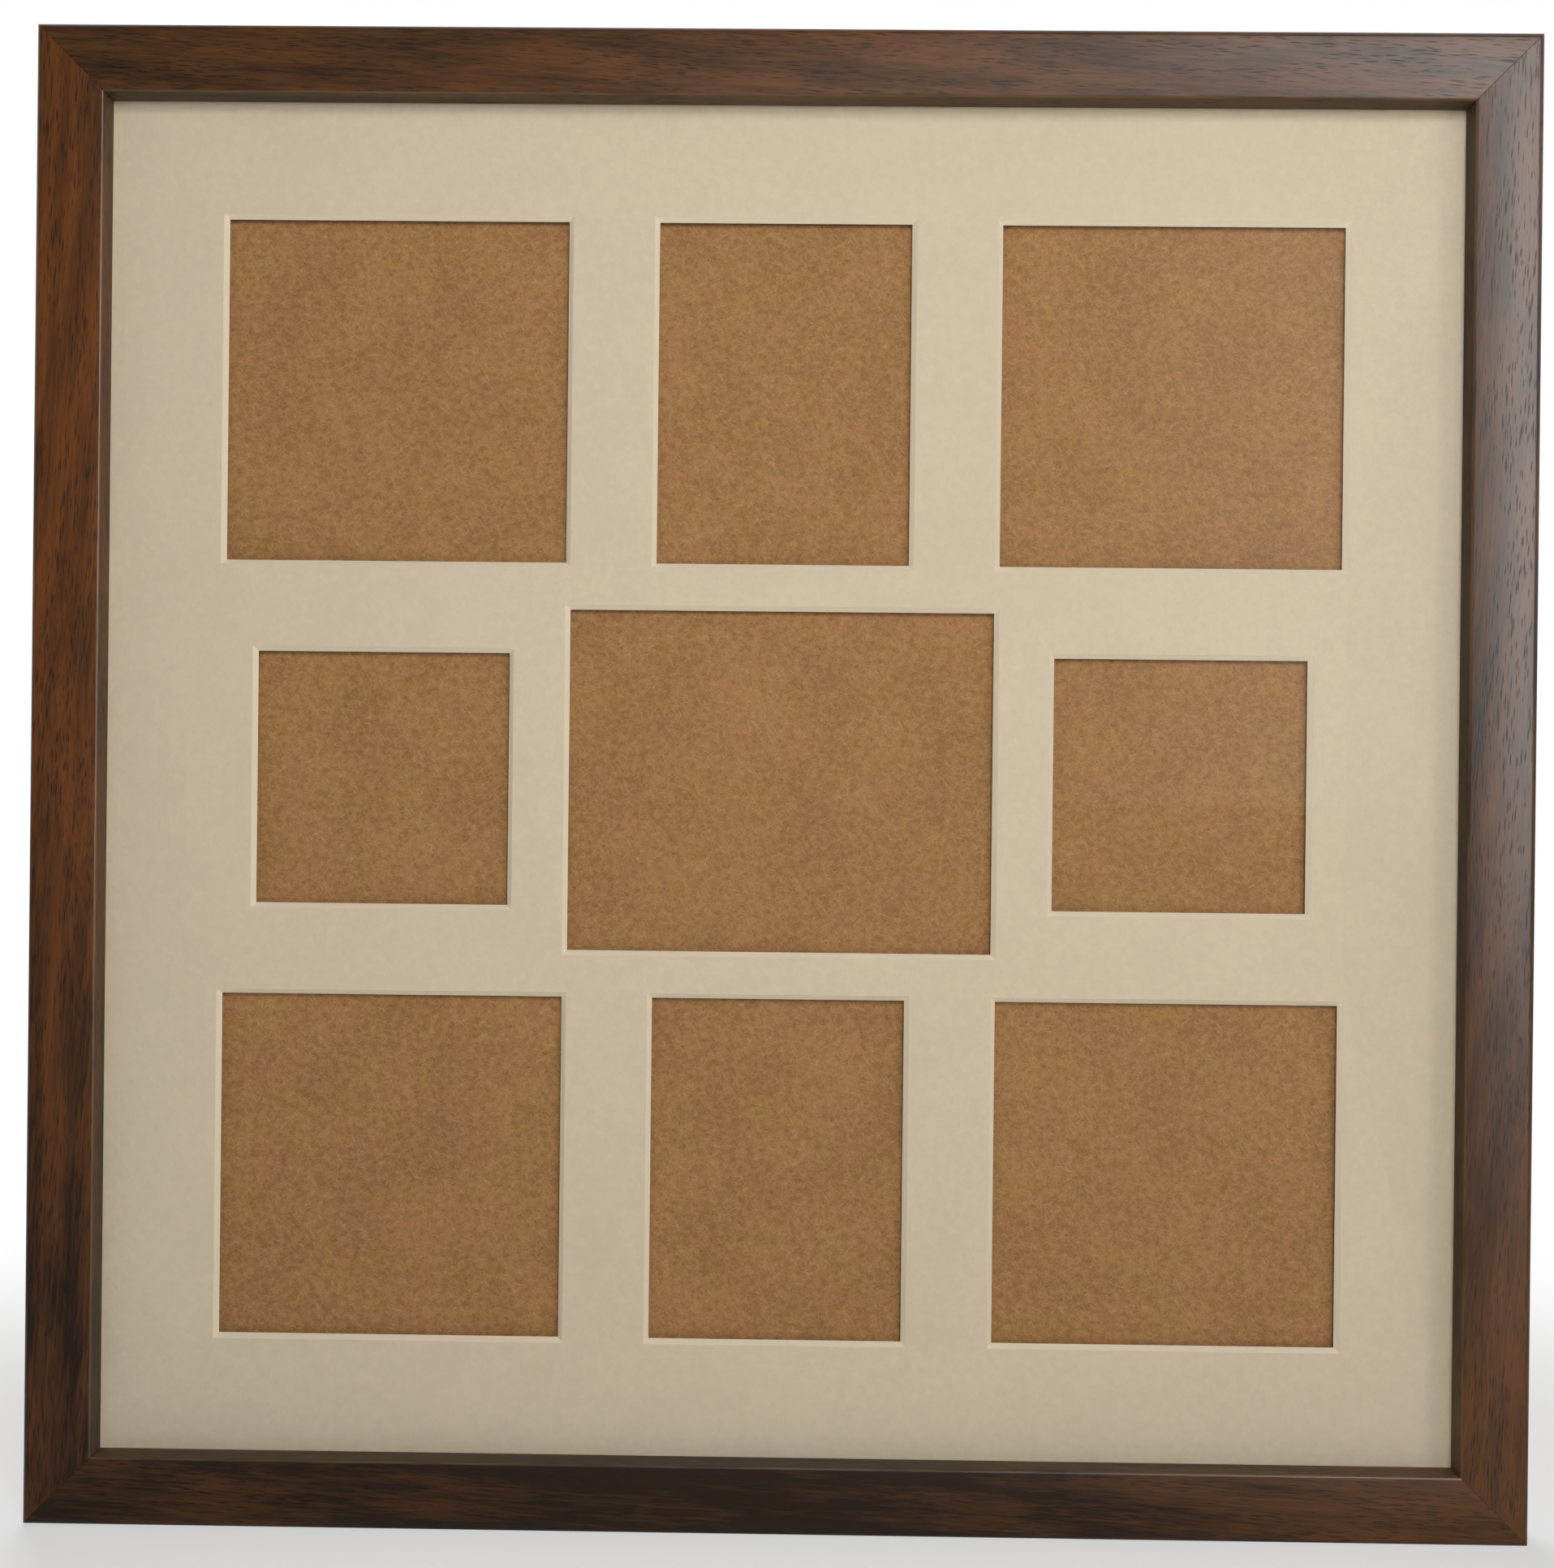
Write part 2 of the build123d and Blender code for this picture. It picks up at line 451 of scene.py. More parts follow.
class Canvas:
    """Places and joins the nodes of one tree."""

    def __init__(self, tree: bpy.types.NodeTree) -> None:
        """Takes the tree of a material, a group or the world."""
        self.tree = tree

    def feed(self, node: bpy.types.Node, inputs: Inputs) -> None:
        """Fills a node's inputs.

        Args:
            node: The node.
            inputs: What each input takes, by name or index: a value, or an output to join.
        """
        for key, value in inputs.items():
            if isinstance(value, Socket):
                self.tree.links.new(value, node.inputs[key])
            else:
                node.inputs[key].default_value = value

    def add(self, kind: str, inputs: Inputs | None = None, **settings: object) -> bpy.types.Node:
        """Adds a node.

        Args:
            kind: The node's type, without the leading ShaderNode.
            inputs: What its inputs take.
            **settings: The node's own settings.

        Returns:
            The node.
        """
        node = self.tree.nodes.new("ShaderNode" + kind)
        for key, value in settings.items():
            setattr(node, key, value)
        self.feed(node, inputs or {})
        return node

    def maths(self, operation: str, *values: object) -> Socket:
        """Adds a sum on one to three values and gives its output."""
        return self.add("Math", dict(enumerate(values)), operation=operation).outputs[0]

    def plus(self, first: object, second: object) -> Socket:
        """Adds two values up."""
        return self.maths("ADD", first, second)

    def times(self, first: object, second: object) -> Socket:
        """Multiplies two values."""
        return self.maths("MULTIPLY", first, second)

    def most(self, first: object, second: object) -> Socket:
        """Gives the larger of two values."""
        return self.maths("MAXIMUM", first, second)

    def parts(self, vector: Socket) -> Outputs:
        """Takes a vector apart into its x, y and z."""
        return self.add("SeparateXYZ", {0: vector}).outputs

    def blend(self, share: object, under: object, over: object) -> Socket:
        """Mixes two colours by the share of the second one."""
        inputs = {0: share, 6: under, 7: over}
        return self.add("Mix", inputs, data_type="RGBA", clamp_factor=True).outputs[2]

    def mix(self, share: Socket, under: bpy.types.Node, over: bpy.types.Node) -> bpy.types.Node:
        """Mixes two shaders by the share of the second one."""
        return self.add("MixShader", {0: share, 1: under.outputs[0], 2: over.outputs[0]})

    def span(self, value: object, low: float, high: float, to: tuple[float, float] = (0, 1)) -> Socket:
        """Eases a value between two ends, into what it is turned to at each."""
        inputs = {"Value": value, "From Min": low, "From Max": high, "To Min": to[0], "To Max": to[1]}
        return self.add("MapRange", inputs, interpolation_type="SMOOTHSTEP").outputs[0]

    def spread(
        self, place: Socket, size: Triple, turn: Triple = (0, 0, 0), shift: Triple = (0, 0, 0)
    ) -> Socket:
        """Turns a place in metres into units of a pattern's size, for one turned by degrees and shifted."""
        inputs = {"Vector": place, "Location": shift, "Rotation": [math.radians(angle) for angle in turn]}
        return self.add("Mapping", inputs | {"Scale": size}, vector_type="TEXTURE").outputs[0]

    def noise(
        self, place: Socket, size: Triple, detail: float, rough: float = 0.5, **pattern: Triple
    ) -> Socket:
        """Adds soft noise.

        Args:
            place: The place, in metres.
            size: Size of the noise along each axis, in metres.
            detail: How many finer layers it has.
            rough: How strong they are.
            **pattern: Turn and shift of the noise.

        Returns:
            A value round one half.
        """
        inputs = {"Vector": self.spread(place, size, **pattern), "Scale": 1.0, "Detail": detail}
        return self.add("TexNoise", inputs | {"Roughness": rough}, noise_dimensions="3D").outputs[0]

    def relief(self, height: Socket, strength: float, depth: float) -> Socket:
        """Turns a height round 0 to 1 into a normal, bumped to a depth in metres."""
        return self.add("Bump", {"Height": height, "Strength": strength, "Distance": depth}).outputs[0]


class Effect(Enum):
    """A pattern that several finishes share, as a node group."""

    GRAIN = "wood grain"
    STRANDS = "pressed strands"
    HANDLING = "handling marks"

    def group(self) -> bpy.types.NodeTree:
        """Gives the effect's node group, which is drawn the first time.

        Returns:
            The group.
        """
        made = bpy.data.node_groups.get(self.value)
        if made is not None:
            return made
        tree = bpy.data.node_groups.new(self.value, "ShaderNodeTree")
        tree.interface.new_socket("Place", in_out="INPUT", socket_type="NodeSocketVector")
        start = tree.nodes.new("NodeGroupInput")
        draw = {Effect.GRAIN: draw_grain, Effect.STRANDS: draw_strands, Effect.HANDLING: draw_handling}[self]
        drawn = draw(Canvas(tree), start.outputs["Place"])
        for name in drawn:
            tree.interface.new_socket(name, in_out="OUTPUT", socket_type="NodeSocketFloat")
        Canvas(tree).feed(tree.nodes.new("NodeGroupOutput"), drawn)
        return tree

    def on(self, canvas: Canvas, place: Socket) -> Outputs:
        """Places the effect in a material and gives its outputs."""
        return canvas.add("Group", {"Place": place}, node_tree=self.group()).outputs


def draw_grain(canvas: Canvas, place: Socket) -> dict[str, Socket]:
    """Draws open-pored wood with its grain along X.

    Args:
        canvas: The group's canvas.
        place: The place, in metres.

    Returns:
        Broad tone, fine fibre and the dark dashes of the pores.
    """
    wave = canvas.noise(place, (90 * MM, 14 * MM, 14 * MM), 1.0)
    bend = canvas.add("CombineXYZ", {1: canvas.span(wave, 0, 1, (-2 * MM, 2 * MM))})
    bent = canvas.add("VectorMath", {0: place, 1: bend.outputs[0]}, operation="ADD").outputs[0]
    slant = canvas.spread(bent, (1, 1, 1), (0, 3.5, 2.0))
    tone = canvas.noise(slant, (60 * MM, 7 * MM, 7 * MM), 3.0, 0.6)
    fibre = canvas.noise(slant, (16 * MM, 0.6 * MM, 0.6 * MM), 3.0, 0.6)
    dashes = canvas.spread(slant, (7.0 * MM, 0.6 * MM, 0.6 * MM))
    cells = canvas.add("TexVoronoi", {"Vector": dashes, "Scale": 1.0, "Randomness": 1.0})
    crowding = canvas.noise(slant, (35 * MM, 4 * MM, 4 * MM), 1.0, shift=(0.4, 0.2, 0.1))
    reach = canvas.span(crowding, 0.35, 0.65, (0.24, 0.50))
    dash = canvas.maths("DIVIDE", cells.outputs["Distance"], reach)
    return {"Tone": tone, "Fibre": fibre, "Pores": canvas.span(dash, 1.0, 0.35)}


STRAND_ANGLES = (12.0, 58.0, 104.0, 149.0)
FLECK_LEAN = 23.0


def draw_strands(canvas: Canvas, place: Socket) -> dict[str, Socket]:
    """Draws fibres that lie every way in the plane of a board across Y.

    Args:
        canvas: The group's canvas.
        place: The place, in metres.

    Returns:
        Mottling, a slow drift, pale strands and dark flecks.
    """
    broad = canvas.noise(place, (22 * MM,) * 3, 2.0)
    fine = canvas.noise(place, (2.2 * MM,) * 3, 3.0, 0.65)
    pale, dark = 0.0, 0.0
    for index, angle in enumerate(STRAND_ANGLES):
        shift = (0.3 * index, 0.1 * index, 0.2)
        along, askew = (0, angle, 0), (0, angle + FLECK_LEAN, 0)
        strand = canvas.noise(place, (3.0 * MM, 1.2 * MM, 0.22 * MM), 1.0, turn=along, shift=shift)
        fleck = canvas.noise(place, (1.7 * MM, 0.8 * MM, 0.36 * MM), 1.0, turn=askew, shift=shift)
        pale = canvas.most(pale, canvas.span(strand, 0.57, 0.75))
        dark = canvas.most(dark, canvas.span(fleck, 0.62, 0.80))
    return {
        "Mottle": canvas.plus(canvas.times(broad, 0.26), canvas.times(fine, 0.74)),
        "Drift": canvas.noise(place, (16 * MM,) * 3, 2.0, shift=(0.7, 0.3, 0.5)),
        "Pale": pale,
        "Dark": dark,
    }


def draw_handling(canvas: Canvas, place: Socket) -> dict[str, Socket]:
    """Draws the rubs and the dulling that small fittings get.

    Args:
        canvas: The group's canvas.
        place: The place, in metres.

    Returns:
        Fine rubs and broad dulling.
    """
    rubs = canvas.noise(place, (2.5 * MM, 2.5 * MM, 0.12 * MM), 3.0, 0.6, turn=(0, 35, 0))
    dull = canvas.noise(place, (6 * MM,) * 3, 4.0, 0.6)
    return {"Rubs": canvas.span(rubs, 0.45, 0.75), "Dull": canvas.span(dull, 0.4, 0.75)}


def new_finish(name: str) -> tuple[Material, Canvas, bpy.types.Node, Outputs]:
    """Starts a material with a Principled surface and the piece's own coordinates.

    Args:
        name: The name of the material.

    Returns:
        The material, its canvas, its surface shader and its coordinates.
    """
    material = bpy.data.materials.new(name)
    material.use_nodes = True
    canvas = Canvas(material.node_tree)
    return material, canvas, material.node_tree.nodes["Principled BSDF"], canvas.add("TexCoord").outputs


class Run(Enum):
    """Which way the grain runs, with the turn in degrees that lays it along X."""

    LEVEL = 0
    UPRIGHT = 90


@dataclass(frozen=True)
class Walnut:
    """Satin dark walnut stain on the face and sides, with bare wood on the back.

    Attributes:
        run: Which way the grain runs.
        inward: The way from the rail to the opening, which its rubbed edge faces.
        lift: How much paler the board is at its left or lower end, in its middle and at the other end, as a
            share of the way from dark to warm.
        warm: Colour of the light bands.
        dark: Colour of the dark bands.
        pore: Colour of the pores.
        rubbed: Colour of the edge of the opening, partly a thinner stain there and partly a painted
            highlight.
        thin: Colour of the painted light on the wall of the opening, which stands in for the light that the
            wall catches.
        bare: Colour of the bare back.
        reach: Half of the length of the board.
        tone_share: Share of the broad tone in the bands.
        fibre_share: Share of the fine fibre in the bands.
        pore_share: How dark the pores are.
        painted_wall_light_share: How strong the painted light on the wall of the opening is.
        rough: Roughness of the stain.
        pore_rough: How much rougher the pores are.
        matt: How much rougher the back and the wall of the opening are.
        gloss: Specular level.
        relief: Strength and depth of the grain's relief.
    """

    run: Run
    inward: Triple
    lift: Triple
    warm: Colour = (0.150, 0.056, 0.0145, 1)
    dark: Colour = (0.029, 0.0158, 0.0076, 1)
    pore: Colour = (0.014, 0.008, 0.005, 1)
    rubbed: Colour = (0.155, 0.098, 0.05, 1)
    thin: Colour = (0.10, 0.075, 0.04, 1)
    bare: Colour = (0.46, 0.31, 0.17, 1)
    reach: float = 0.2
    tone_share: float = 0.5
    fibre_share: float = 0.4
    pore_share: float = 0.8
    painted_wall_light_share: float = 0.25
    rough: float = 0.36
    pore_rough: float = 0.14
    matt: float = 0.28
    gloss: float = 0.7
    relief: tuple[float, float] = (0.15, 0.12 * MM)

    def material(self, name: str, middle: Vector) -> Material:
        """Draws the finish.

        Args:
            name: The name of the material.
            middle: The middle of the picture, which the lift is measured from.

        Returns:
            The material.
        """
        made, canvas, surface, places = new_finish(name)
        grain = Effect.GRAIN.on(canvas, canvas.spread(places["Object"], (1, 1, 1), (0, self.run.value, 0)))
        band = canvas.span(grain["Tone"], 0.32, 0.68)
        streak = canvas.span(grain["Fibre"], 0.3, 0.7)
        share = canvas.plus(canvas.times(band, self.tone_share), canvas.times(streak, self.fibre_share))
        axis = 0 if self.run is Run.LEVEL else 2
        start = middle[axis]
        length = canvas.parts(places["Object"])[axis]
        first, middling, last = self.lift
        lift = canvas.plus(
            canvas.span(length, start - self.reach, start, (first, middling)),
            canvas.span(length, start, start + self.reach, (0.0, last - middling)),
        )
        stained = canvas.blend(canvas.plus(share, lift), self.dark, self.warm)
        stained = canvas.blend(canvas.times(grain["Pores"], self.pore_share), stained, self.pore)
        normal = canvas.parts(places["Normal"])
        inputs = {0: places["Normal"], 1: self.inward}
        inward = canvas.add("VectorMath", inputs, operation="DOT_PRODUCT").outputs["Value"]
        # Painted highlight and wear: a paler line along the edge of the opening, partly a thinner stain and
        # partly a painted highlight.
        arris = canvas.times(canvas.span(inward, 0.25, 0.5), canvas.span(inward, 0.97, 0.85))
        square = canvas.span(canvas.maths("ABSOLUTE", normal[axis]), 0.25, 0.1)
        mark_share = canvas.times(arris, canvas.span(grain["Tone"], 0.3, 0.6, (0.2, 0.7)))
        stained = canvas.blend(canvas.times(mark_share, square), stained, self.rubbed)
        # Painted light: the wall of the opening is mixed towards a paler olive, which stands in for the light
        # that it catches.
        wall = canvas.span(inward, 0.9, 0.98)
        stained = canvas.blend(canvas.times(wall, self.painted_wall_light_share), stained, self.thin)
        bare = canvas.blend(canvas.times(streak, 0.5), self.bare, self.warm)
        bare = canvas.blend(canvas.times(grain["Pores"], 0.4), bare, self.warm)
        back = canvas.span(canvas.maths("SUBTRACT", normal[1], canvas.times(grain["Tone"], 0.25)), 0.55, 0.75)
        rough = canvas.maths("MULTIPLY_ADD", grain["Pores"], self.pore_rough, self.rough)
        height = canvas.maths("SUBTRACT", canvas.times(grain["Fibre"], 0.3), grain["Pores"])
        canvas.feed(surface, {
            "Base Color": canvas.blend(back, stained, bare),
            "Roughness": canvas.plus(rough, canvas.times(canvas.most(back, wall), self.matt)),
            "Specular IOR Level": self.gloss,
            "Normal": canvas.relief(height, *self.relief),
        })
        return made


@dataclass(frozen=True)
class MountBoard:
    """Matt cream mount board with a paler core, which the bevel cut of the windows shows.

    Attributes:
        face: Colour of the face paper.
        shade: Colour of its darker mottling.
        core: Colour of the core.
        strand_share: How pale the strands in the face paper are.
        rough: Least and greatest roughness.
        gloss: Specular level.
        relief: Strength and depth of the paper's relief.
    """

    face: Colour = (0.72, 0.607, 0.438, 1)
    shade: Colour = (0.68, 0.572, 0.410, 1)
    core: Colour = (0.87, 0.75, 0.56, 1)
    strand_share: float = 0.12
    rough: tuple[float, float] = (0.82, 0.95)
    gloss: float = 0.25
    relief: tuple[float, float] = (0.12, 0.1 * MM)

    def material(self) -> Material:
        """Draws the finish.

        Returns:
            The material.
        """
        made, canvas, surface, places = new_finish("cream mount board")
        paper = Effect.STRANDS.on(canvas, places["Object"])
        face = canvas.blend(canvas.span(paper["Mottle"], 0.35, 0.65), self.shade, self.face)
        face = canvas.blend(canvas.times(paper["Pale"], self.strand_share), face, self.core)
        cut = canvas.span(canvas.maths("ABSOLUTE", canvas.parts(places["Normal"])[1]), 0.95, 0.8)
        canvas.feed(surface, {
            "Base Color": canvas.blend(cut, face, self.core),
            "Roughness": canvas.span(paper["Mottle"], 0.3, 0.7, self.rough),
            "Specular IOR Level": self.gloss,
            "Normal": canvas.relief(paper["Mottle"], *self.relief),
        })
        return made


@dataclass(frozen=True)
class Fibreboard:
    """Brown pressed fibreboard, mottled, with pale strands and dark flecks.

    Attributes:
        light: Colour of the paler mottling.
        ruddy: The same where the board is redder.
        deep: Colour of the darker mottling.
        pale: Colour of the strands.
        fleck: Colour of the flecks.
        pale_share: How pale the strands are.
        fleck_share: How dark the flecks are.
        rough: Least and greatest roughness.
        gloss: Specular level.
        relief: Strength and depth of the fibres' relief.
    """

    light: Colour = (0.406, 0.214, 0.066, 1)
    ruddy: Colour = (0.420, 0.196, 0.073, 1)
    deep: Colour = (0.292, 0.138, 0.0425, 1)
    pale: Colour = (0.60, 0.37, 0.165, 1)
    fleck: Colour = (0.12, 0.055, 0.022, 1)
    pale_share: float = 0.45
    fleck_share: float = 0.6
    rough: tuple[float, float] = (0.6, 0.78)
    gloss: float = 0.3
    relief: tuple[float, float] = (0.2, 0.12 * MM)

    def material(self) -> Material:
        """Draws the finish.

        Returns:
            The material.
        """
        made, canvas, surface, places = new_finish("brown fibreboard")
        strands = Effect.STRANDS.on(canvas, places["Object"])
        light = canvas.blend(canvas.span(strands["Drift"], 0.4, 0.6), self.light, self.ruddy)
        colour = canvas.blend(canvas.span(strands["Mottle"], 0.36, 0.64), self.deep, light)
        colour = canvas.blend(canvas.times(strands["Pale"], self.pale_share), colour, self.pale)
        raised = canvas.plus(strands["Mottle"], strands["Pale"])
        canvas.feed(surface, {
            "Base Color": canvas.blend(canvas.times(strands["Dark"], self.fleck_share), colour, self.fleck),
            "Roughness": canvas.span(strands["Mottle"], 0.3, 0.7, self.rough),
            "Specular IOR Level": self.gloss,
            "Normal": canvas.relief(canvas.maths("SUBTRACT", raised, strands["Dark"]), *self.relief),
        })
        return made


@dataclass(frozen=True)
class ClearGlass:
    """Clear float glass that lets lamps light what is behind it.

    Attributes:
        tint: Colour of the glass.
        bend: Its index of refraction.
        rough: Least and greatest roughness, where it is smeared.
    """

    tint: Colour = (0.995, 0.998, 0.996, 1)
    bend: float = 1.5
    rough: tuple[float, float] = (0.0, 0.02)

    def material(self) -> Material:
        """Draws the finish.

        Returns:
            The material.
        """
        made, canvas, surface, places = new_finish("clear glass")
        smear = canvas.noise(places["Object"], (60 * MM,) * 3, 3.0)
        canvas.feed(surface, {
            "Base Color": self.tint,
            "IOR": self.bend,
            "Transmission Weight": 1.0,
            "Roughness": canvas.span(smear, 0.3, 0.8, self.rough),
        })
        rays = canvas.add("LightPath").outputs
        lamp = canvas.most(rays["Is Shadow Ray"], rays["Is Diffuse Ray"])
        mixed = canvas.mix(lamp, surface, canvas.add("BsdfTransparent", {"Color": self.tint}))
        canvas.feed(canvas.tree.nodes["Material Output"], {"Surface": mixed.outputs[0]})
        return made


@dataclass(frozen=True)
class PlatedMetal:
    """Plated steel, with a few rubs, a little dulled.

    Attributes:
        name: The name of the plate.
        bright: Colour of the plate.
        dulled: Colour where it is dulled.
        rough: Roughness of the bright and of the dulled plate.
        rub_share: How far a rub dulls the plate.
        relief: Strength and depth of the rubs' relief.
    """

    name: str
    bright: Colour
    dulled: Colour
    rough: tuple[float, float]
    rub_share: float = 0.5
    relief: tuple[float, float] = (0.05, 0.03 * MM)

    def material(self) -> Material:
        """Draws the finish.

        Returns:
            The material.
        """
        made, canvas, surface, places = new_finish(self.name)
        marks = Effect.HANDLING.on(canvas, places["Object"])
        mark_share = canvas.most(marks["Dull"], canvas.times(marks["Rubs"], self.rub_share))
        canvas.feed(surface, {
            "Base Color": canvas.blend(mark_share, self.bright, self.dulled),
            "Metallic": 1.0,
            "Roughness": canvas.span(mark_share, 0, 1, self.rough),
            "Normal": canvas.relief(marks["Rubs"], *self.relief),
        })
        return made


NICKEL = PlatedMetal("nickel plate", (0.62, 0.60, 0.56, 1), (0.50, 0.48, 0.445, 1), (0.22, 0.42))
BRASS = PlatedMetal("brass plate", (0.74, 0.53, 0.23, 1), (0.52, 0.35, 0.14, 1), (0.24, 0.46))


@dataclass(frozen=True)
class Rubber:
    """Matt dark rubber with a little dust.

    Attributes:
        clean: Colour of the rubber.
        dusty: Colour where dust has settled.
        rough: Roughness of clean and of dusty rubber.
        dust_share: How thick the dust is.
        relief: Strength and depth of the dust's relief.
    """

    clean: Colour = (0.028, 0.026, 0.024, 1)
    dusty: Colour = (0.11, 0.10, 0.09, 1)
    rough: tuple[float, float] = (0.6, 0.85)
    dust_share: float = 0.6
    relief: tuple[float, float] = (0.2, 0.1 * MM)

    def material(self) -> Material:
        """Draws the finish.

        Returns:
            The material.
        """
        made, canvas, surface, places = new_finish("bumper rubber")
        dull = Effect.HANDLING.on(canvas, places["Object"])["Dull"]
        canvas.feed(surface, {
            "Base Color": canvas.blend(canvas.times(dull, self.dust_share), self.clean, self.dusty),
            "Roughness": canvas.span(dull, 0, 1, self.rough),
            "Normal": canvas.relief(dull, *self.relief),
        })
        return made


@dataclass
class Elbow:
    """One corner nail: a steel V, driven into the back of a mitre.

    Attributes:
        leg: Length of each leg.
        gauge: Thickness of the steel.
        depth: How deep it goes.
        sunk: How far its top is driven below the wood.
        edge: Chamfer of its edges.
    """

    leg: float = 4.5 * MM
    gauge: float = 0.5 * MM
    depth: float = 8.0 * MM
    sunk: float = 0.25 * MM
    edge: float = 0.5 * MM / 6

    def solid(self, name: str, tip: Vector, room: float) -> Piece:
        """Models the nail at the top right corner, or the slot that it sits in.

        Args:
            name: The name of the piece.
            tip: Outer corner of the V, on the back of the rails.
            room: Clearance round the nail, and none for the nail itself.

        Returns:
            The solid.
        """
        high = tip + Vector((room, room if room else -self.sunk, room))
        low = Vector((tip.x - self.leg - room, high.y, tip.z - self.leg - room))
        piece = Bench.leaf(name, low, high)
        inner = tip - Vector((self.gauge + room, 0, self.gauge + room))
        with Bench.editing(piece):
            Bench.notch(ACROSS, inner, lambda at, way: at.x < inner.x and at.z < inner.z)
            Bench.pick(Part.FACES)
            Bench.pull(DEEP * (tip.y - self.depth - room - high.y))
        return piece


@dataclass
class Moulding:
    """The four mitred rails: a crowned walnut moulding with a rebate behind its lip.

    Attributes:
        layout: Where the frame stands.
        nail: The nail that is driven into the mitres.
        nail_insets: How far in from the corner each nail of a mitre stands.
        rebate_room: Clearance between the sheets and the rebate.
        slot_room: Clearance between a corner nail and its slot.
        crown: How much the face is crowned.
        crown_cuts: Number of cuts across the crown.
        sight_arris: Round of the edge of the opening.
        outer_round: Round of the outer edge.
        back_arris: Round of the edge at the wall.
        mitre_ease: Chamfer of the mitre's edges, which draws the line of the joint.
    """

    layout: Layout
    nail: Elbow
    nail_insets: tuple[float, float] = (4.0 * MM, 8.6 * MM)
    rebate_room: float = 1.0 * MM
    slot_room: float = 0.05 * MM
    crown: float = 0.5 * MM
    crown_cuts: int = 13
    sight_arris: float = 0.8 * MM
    outer_round: float = 2.0 * MM
    back_arris: float = 0.6 * MM
    mitre_ease: float = 0.08 * MM

    def section(self) -> Piece:
        """Models the section of the top rail as one face at its left end.

        Returns:
            The section.
        """
        lay = self.layout
        sight, outer = lay.middle.z + lay.sight, lay.middle.z + lay.outer
        low, high = Vector((-lay.outer, lay.front, sight)), Vector((-lay.outer, lay.back, outer))
        ledge = Vector((-lay.outer, lay.ledge, lay.middle.z + lay.sheet + self.rebate_room))
        piece = Bench.leaf("walnut_top_rail", low, high)
        rounds = (
            (low, self.sight_arris, 6),
            (Vector((-lay.outer, lay.front, outer)), self.outer_round, 10),
            (high, self.back_arris, 4),
        )
        with Bench.editing(piece):
            Bench.notch(DEEP, ledge, lambda at, way: at.y > ledge.y and at.z < ledge.z)
            for corner, width, steps in rounds:
                Bench.pick(Part.VERTS, lambda at, way: (at - corner).length < TOUCH)
                Bench.ease(width, steps, Part.VERTS)
            Bench.pick(Part.EDGES, level(lay.front))
            bpy.ops.mesh.subdivide(number_cuts=self.crown_cuts)
            self.crown_face((sight + outer) / 2, (outer - sight) / 2)
        return piece

    def crown_face(self, middle: float, half: float) -> None:
        """Lowers the face of the section towards its two edges.

        Args:
            middle: Height of the middle of the face.
            half: Half of the width of the face.
        """
        mesh = bmesh.from_edit_mesh(bpy.context.object.data)
        ahead = self.layout.ledge - TOUCH
        rows = sorted({round(vert.co.z / TOUCH) * TOUCH for vert in mesh.verts if vert.co.y < ahead})
        for row in rows:
            Bench.pick(Part.VERTS, lambda at, way: at.y < ahead and abs(at.z - row) < TOUCH)
            bpy.ops.transform.translate(value=(0, self.crown * ((row - middle) / half) ** 2, 0))

    def rail(self) -> Piece:
        """Models the top rail: the section drawn out, sawn to its mitres and slotted for the nails.

        Returns:
            The rail.
        """
        lay = self.layout
        piece = self.section()
        with Bench.editing(piece):
            Bench.pick(Part.FACES)
            Bench.pull(ACROSS * 2 * lay.outer)
            for lean in (-1, 1):
                Bench.cut(lay.middle, Vector((lean, 0, 1)), saw=True)
            Bench.pick(Part.EDGES, lambda at, way: abs(at.z - lay.middle.z - abs(at.x)) < TOUCH)
            Bench.ease(self.mitre_ease, steps=1)
        for inset in self.nail_insets:
            for side in (Side.TOP, Side.LEFT):
                slot = self.nail.solid("slot", self.corner(inset), self.slot_room)
                slot.data.transform(lay.turned(side))
                Bench.combine(piece, slot, Merge.CUT)
        Bench.smooth(piece)
        return piece

    def corner(self, inset: float) -> Vector:
        """Gives the point of the top right mitre that is this far in from both outer edges."""
        return self.layout.middle + (ACROSS + UP) * (self.layout.outer - inset)

    def round_frame(self, first: Piece, name: str) -> Iterator[tuple[Side, Piece]]:
        """Copies a piece of the top side to the other sides, one after the other.

        Args:
            first: The piece at the top.
            name: The name of the copies, with a gap for the side's name.

        Returns:
            Each side and its piece.
        """
        yield Side.TOP, first
        for side in (Side.RIGHT, Side.BOTTOM, Side.LEFT):
            yield side, Bench.copy(first, name.format(side.label()), self.layout.turned(side))

    def build(self) -> None:
        """Makes and dresses the four rails and the nails of their mitres."""
        boards = {
            Side.TOP: Walnut(Run.LEVEL, (0, 0, -1), (-0.12, 0.10, -0.04)),
            Side.RIGHT: Walnut(Run.UPRIGHT, (-1, 0, 0), (0.26, -0.08, -0.16)),
            Side.BOTTOM: Walnut(Run.LEVEL, (0, 0, 1), (-0.18, -0.55, 0.10)),
            Side.LEFT: Walnut(Run.UPRIGHT, (1, 0, 0), (-0.30, 0.14, 0.22), (0.185, 0.058, 0.0115, 1)),
        }
        for side, rail in self.round_frame(self.rail(), "walnut_{}_rail"):
            finish = boards[side].material(f"walnut {side.label()}", self.layout.middle)
            Bench.seat(rail, finish, FRAME_BODY, "walnut_rail", f"{side.label()}_rail")
        plate = NICKEL.material()
        for count, inset in enumerate(self.nail_insets, 1):
            first = self.nail.solid(f"mitre_nail_top_{count}", self.corner(inset), 0.0)
            Bench.soften(first, self.nail.edge, steps=1)
            for _, nail in self.round_frame(first, f"mitre_nail_{{}}_{count}"):
                Bench.seat(nail, plate, FRAME_BODY, "plated_steel", "corner_v_nails")


